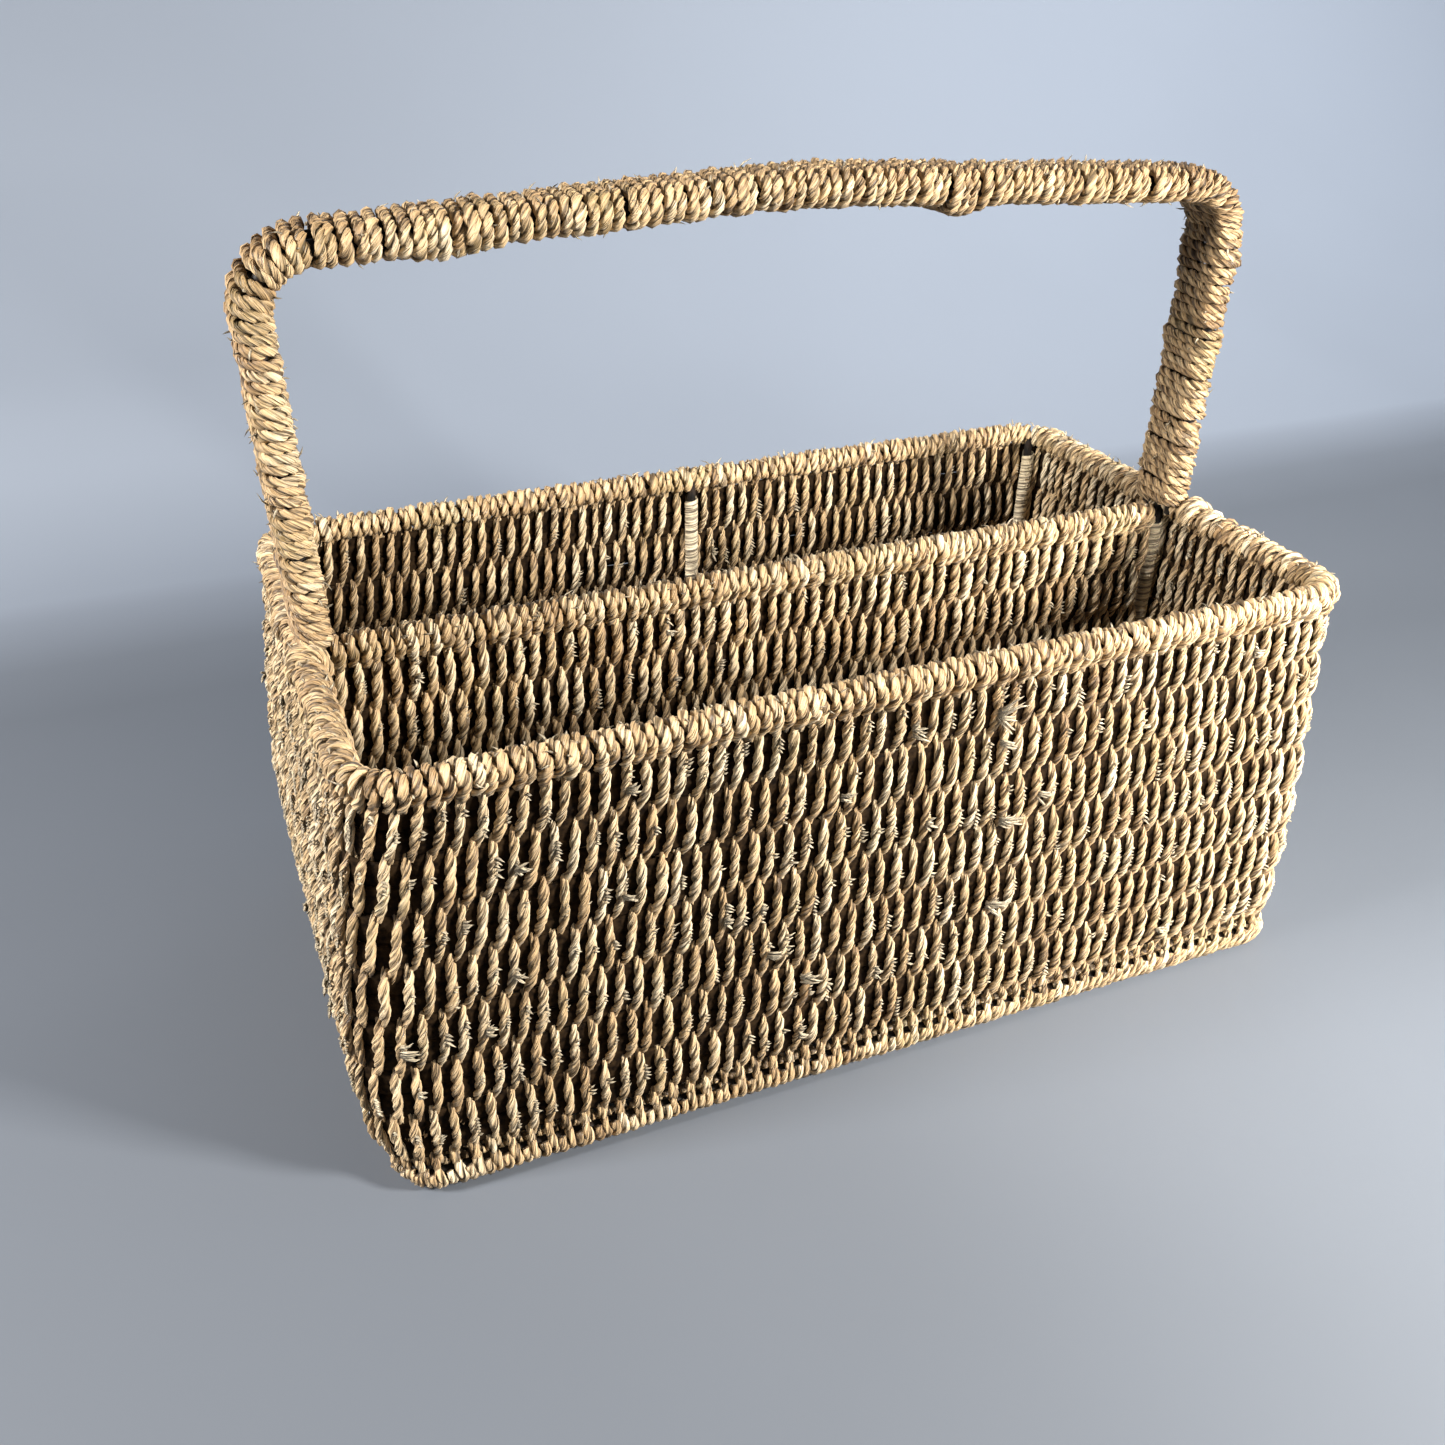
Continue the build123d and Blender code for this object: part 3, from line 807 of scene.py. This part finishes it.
def make_handle():
    """The cord round the handle's bar and its legs."""
    bar_low, bar_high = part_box("handle_wrap_bar")
    on_bar = (ROUTE[:, 0] > bar_low.x) & (ROUTE[:, 0] < bar_high.x) & (ROUTE[:, 1] > bar_low.z)
    left, right = ROUTE_LENGTH[on_bar][0], ROUTE_LENGTH[on_bar][-1]
    parts = (
        ("bar", left, right, BAR_WINDING),
        ("left", FOOT_MARGIN, left, LEFT_WINDING),
        ("right", right, ROUTE_LENGTH[-1] - FOOT_MARGIN, RIGHT_WINDING),
    )
    for name, start, end, winding in parts:
        cords = [wound_cord(start, end, *winding)]
        nodes = [f"handle_wrap_{name}"]
        piece(f"handle_{name}_cord", TWO_PLY, cords, HANDLE_FINISH, nodes)


def make_lashings():
    """The turns of cord over the rim that bind the handle's feet."""
    turn = np.linspace(math.radians(200), math.radians(-60), LASHING_POINTS)
    sideways = np.linspace(-1 * MM, 1 * MM, LASHING_POINTS)
    for name, side in (("left", -1), ("right", 1)):
        x = side * (RIM_X + LASHING_R * np.cos(turn))
        z = RIM_Z + LASHING_R * np.sin(turn)
        lines = [np.stack([x, y + sideways, z], axis=-1) for y in LASHINGS]
        loops = [Cord(line, 1.0, rng.random(), 0.55) for line in lines]
        nodes = [f"handle_lashing_{name}"]
        piece(f"handle_lashing_{name}_cord", TWO_PLY, loops, HANDLE_FINISH, nodes)


# ---- frays ----

STITCHES = 7  # down a wall
OUTER_CHANCE, INNER_CHANCE, DIVIDER_CHANCE = 0.6, 0.3, 0.4  # of a comb on a stitch
TUFT_CHANCE = 0.08  # of a tuft below a comb
RIM_ENDS, DIVIDER_ENDS, HANDLE_ENDS = 260, 90, 260  # single loose ends
LOOSE_LENGTH = (1.0 * MM, 3.5 * MM)
# Big tufts on the front: distance right of the middle, height, number of blades and their length.
FRONT_TUFTS = (
    (34 * MM, 156 * MM, 14, 10 * MM),
    (36 * MM, 143 * MM, 8, 7 * MM),
    (39 * MM, 107 * MM, 12, 9 * MM),
    (37 * MM, 67 * MM, 12, 9 * MM),
    (-2 * MM, 158 * MM, 8, 7 * MM),
    (-29 * MM, 135 * MM, 7, 6 * MM),
    (-41 * MM, 56 * MM, 7, 8 * MM),
)


def comb(surface, at, z, face, count):
    """Broken fibres in a row along one side of a stitch. face is 1 outside and -1 inside.
    Each has three points, from its root to its tip: to one side, down and out."""
    spikes = []
    start = z - rng.uniform(0, 0.35) * ROW
    spacing = rng.uniform(1.2, 1.8) * MM
    slope = rng.uniform(-0.8, 0.6)
    length = rng.uniform(1.2, 2.6) * MM
    for number in range(count):
        reach = length * rng.uniform(0.5, 1.2)
        side = face * (0.5 * CORD + np.array([0.0, 0.45, 1.0]) * reach)
        fall = np.array([0.0, 0.3, 1.0]) * reach * (slope + rng.normal(0, 0.2))
        lift = WEAVE + 0.45 * CORD + np.array([0.0, 0.35, rng.uniform(0.2, 0.6)]) * reach
        line = surface(at + side, start - number * spacing + fall, face * lift)
        spikes.append(Cord(line, np.array([1.5, 1.1, 0.12]), rng.random(), 0.8, twist=None))
    return spikes


def tuft(surface, at, z, face, count, length):
    """A fan of pale blade ends that spring from one place, with four points each."""
    spikes = []
    for _ in range(count):
        reach = length * rng.uniform(0.5, 1.1)
        angle = rng.normal(0.0, 0.5)
        side = face * (0.3 * CORD + np.array([0.0, 0.35, 0.7, 1.0]) * reach * math.cos(angle))
        fall = np.array([0.0, 0.4, 0.75, 1.0]) * reach * math.sin(angle)
        lift = WEAVE + 0.6 * CORD + np.array([0.0, 0.25, 0.40, rng.uniform(0.2, 0.6)]) * reach
        line = surface(at + side, z + rng.normal(0, 1.0) * MM + fall, face * lift)
        spikes.append(Cord(line, np.array([1.0, 1.5, 1.2, 0.2]), rng.random(), 0.9, twist=None))
    return spikes


def stitch_frays(surface, places, first_row, chance, outer):
    """Split ends along the visible stitches of a panel, on its outer or its inner face."""
    spikes = []
    face = 1.0 if outer else -1.0
    for number, at in places:
        for row in range(STITCHES):
            raised = (row + number) % 2 == (0 if outer else 1)
            if not raised or rng.random() > chance:
                continue
            z = first_row - (row + 0.15) * ROW
            spikes += comb(surface, at, z, face, int(rng.integers(2, 7)))
            if rng.random() < TUFT_CHANCE:
                blades, length = int(rng.integers(3, 8)), rng.uniform(3, 6) * MM
                spikes += tuft(surface, at, z - 0.35 * ROW, face, blades, length)
    return spikes


def loose_end(place, reach):
    """A loose end that stands out from a wound cord. place gives the point for a distance out and along."""
    out = 0.5 * CORD + np.array([0.0, 0.6, 1.0]) * reach
    along = np.array([0.0, 0.4, 1.0]) * reach * rng.normal(0, 0.9)
    return Cord(place(out, along), np.array([1.0, 0.8, 0.15]), rng.random(), 0.6, twist=None)


def rim_ends(surface, start, end, height, count):
    """Loose ends on a rim, between two places along it."""
    spikes = []
    for at in rng.uniform(start, end, count):
        angle = rng.uniform(math.radians(-10), math.radians(150))

        def place(out, along):
            far = LOOP + out
            return surface(at + along, height + far * math.sin(angle), far * math.cos(angle))

        spikes.append(loose_end(place, rng.uniform(*LOOSE_LENGTH)))
    return spikes


def handle_ends(count):
    """Loose ends on the handle."""
    spikes = []
    for at in rng.uniform(0.02, 0.98, count) * ROUTE_LENGTH[-1]:
        (y,), (height,) = stadium(rng.uniform(0, 1, 1))
        angle = math.atan2(height, y - np.clip(y, -ROD_Y, ROD_Y))

        def place(out, along):
            return handle_point(at + along, y + out * math.cos(angle), height + out * math.sin(angle))

        spikes.append(loose_end(place, rng.uniform(*LOOSE_LENGTH)))
    return spikes


def make_frays():
    """Split ends all over the weave."""
    spikes = rim_ends(wall_point, 0, AROUND, RIM_Z, RIM_ENDS)
    spikes += rim_ends(divider_point, -DIVIDER_X, DIVIDER_X, DIVIDER_Z, DIVIDER_ENDS)
    piece("rim_frays", BLADE, spikes, FRAY_FINISH)
    piece("handle_frays", BLADE, handle_ends(HANDLE_ENDS), FRAY_FINISH)
    round_rim = [(number, (number + 0.5) * PITCH) for number in range(CORDS)]
    spikes = stitch_frays(wall_point, round_rim, FIRST_ROW, OUTER_CHANCE, True)
    for x, z, blades, length in FRONT_TUFTS:
        spikes += tuft(wall_point, x + X_RUN / 2, z, 1.0, blades, length)
    piece("wall_frays", BLADE, spikes, FRAY_FINISH)
    spikes = stitch_frays(wall_point, round_rim, FIRST_ROW, INNER_CHANCE, False)
    places = -DIVIDER_X + (np.arange(DIVIDER_CORDS) + 0.5) * 2 * DIVIDER_X / DIVIDER_CORDS
    across = list(enumerate(places))
    for outer in (True, False):
        spikes += stitch_frays(divider_point, across, DIVIDER_Z - ROW_START, DIVIDER_CHANCE, outer)
    piece("inner_frays", BLADE, spikes, FRAY_FINISH)


# ---- the studio ----


SHEET_FRONT, SHEET_TOP, SHEET_WIDTH = -3.0, 3.5, 8.0
FOLD = 0.32  # where the sheet starts to curve up
FOLD_R = 0.9
FOLD_HEIGHT = 0.012  # the sheet is paler above this
FLOOR_TONE = (0.118, 0.132, 0.154)
WALL_TONE = (0.25, 0.28, 0.33)


def make_stage():
    """A pale blue-grey sheet that curves up behind the basket."""
    sheet = bmesh.new()
    profile = [(SHEET_FRONT, 0.0), (FOLD, 0.0)]
    for angle in np.linspace(0, math.pi / 2, 24)[1:]:
        profile.append((FOLD + FOLD_R * math.sin(angle), FOLD_R - FOLD_R * math.cos(angle)))
    profile.append((FOLD + FOLD_R, SHEET_TOP))
    row = [sheet.verts.new((-SHEET_WIDTH / 2, y, z)) for y, z in profile]
    edges = [sheet.edges.new(pair) for pair in zip(row, row[1:])]
    swept = bmesh.ops.extrude_edge_only(sheet, edges=edges)["geom"]
    moved = [v for v in swept if isinstance(v, bmesh.types.BMVert)]
    bmesh.ops.translate(sheet, verts=moved, vec=(SHEET_WIDTH, 0, 0))
    bmesh.ops.recalc_face_normals(sheet, faces=sheet.faces)
    for face in sheet.faces:
        face.smooth = True
    mesh = bpy.data.meshes.new("studio_sheet")
    sheet.to_mesh(mesh)
    sheet.free()
    finish = Finish("studio_sheet")
    place = finish.add("ShaderNodeTexCoord").outputs["Object"]
    grain = finish.noise(place, 3.0, 2.0)
    height = Value(finish, finish.add("ShaderNodeSeparateXYZ", None, {0: place}).outputs[2])
    level = finish.spread(height, 0.0, FOLD_HEIGHT) + (grain - 0.5) * 0.2
    colour = finish.ramp(level, (0.0, FLOOR_TONE), (1.0, WALL_TONE))
    mesh.materials.append(finish.surface(colour, finish.spread(grain, 0, 1, 0.6, 0.7), grain, 0.01 * MM))
    thing = bpy.data.objects.new("studio_sheet", mesh)
    bpy.context.scene.collection.objects.link(thing)


def add_light(name, place, target, size, power, colour, spread=math.pi):
    """A square lamp that points at its target. The camera doesn't see it."""
    lamp = bpy.data.lights.new(name, "AREA")
    lamp.spread = spread
    lamp.shape, lamp.size, lamp.energy, lamp.color = "SQUARE", size, power, colour
    holder = bpy.data.objects.new(name, lamp)
    holder.location = place
    holder.visible_camera = False
    holder.rotation_mode = "QUATERNION"
    holder.rotation_quaternion = (Vector(target) - Vector(place)).to_track_quat("-Z", "Y")
    bpy.context.scene.collection.objects.link(holder)


def make_lights():
    """A key light from the right front, a lamp at the left, two weak fills and a dim pale-blue world."""
    middle = (0.05, 0.0, 0.12)
    add_light("key", (0.52, -0.67, 0.47), middle, 0.16, 24, (1.0, 0.97, 0.92))
    add_light("left_lamp", (-1.25, -0.05, 0.75), (-0.2, 0.0, 0.12), 0.3, 35, (1.0, 0.98, 0.96))
    add_light("sheet", (1.1, 0.3, 2.0), (1.2, 1.1, 0.4), 1.4, 17, (0.93, 0.96, 1.0), 1.5)
    add_light("right_lamp", (0.10, -0.62, 0.32), (0.20, -0.11, 0.09), 0.12, 0.45, (1.0, 0.97, 0.92), 0.9)
    world = bpy.data.worlds.new("studio")
    world.use_nodes = True
    background = world.node_tree.nodes["Background"]
    background.inputs["Color"].default_value = (0.80, 0.86, 0.95, 1.0)
    background.inputs["Strength"].default_value = 0.13
    bpy.context.scene.world = world


CAMERA_PLACE = (-0.2296, -0.4801, 0.4088)
CAMERA_DOWN, CAMERA_RIGHT, CAMERA_ROLL = 30.32, 22.82, 0.41  # degrees
FOCAL_LENGTH, SENSOR_WIDTH = 34.1, 36.0  # millimetres


def make_camera():
    """The camera stands in front of the left end, looks down at the middle and is turned a little."""
    lens = bpy.data.cameras.new("camera")
    lens.lens, lens.sensor_width = FOCAL_LENGTH, SENSOR_WIDTH
    holder = bpy.data.objects.new("camera", lens)
    holder.location = CAMERA_PLACE
    holder.rotation_euler = (math.pi / 2 - math.radians(CAMERA_DOWN), 0.0, -math.radians(CAMERA_RIGHT))
    holder.rotation_euler.rotate_axis("Z", math.radians(CAMERA_ROLL))
    bpy.context.scene.collection.objects.link(holder)
    bpy.context.scene.camera = holder


def finish_wires():
    """The frame's wires keep their shape and get the painted finish."""
    for node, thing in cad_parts.items():
        if node.endswith(("_wire", "_post")) or "_wire_" in node or node.startswith("handle_rod"):
            for index in range(len(thing.material_slots)):
                thing.material_slots[index].material = WIRE_FINISH


make_camera()
make_walls()
make_strands()
make_divider()
make_floor()
make_rim()
make_posts()
make_handle()
make_lashings()
make_frays()
finish_wires()
for outline in (TWO_PLY, FLAT, LEAF, BLADE):
    bpy.data.objects.remove(outline)
make_stage()
make_lights()
bpy.context.scene.view_settings.view_transform = "Standard"

bpy.context.view_layer.update()
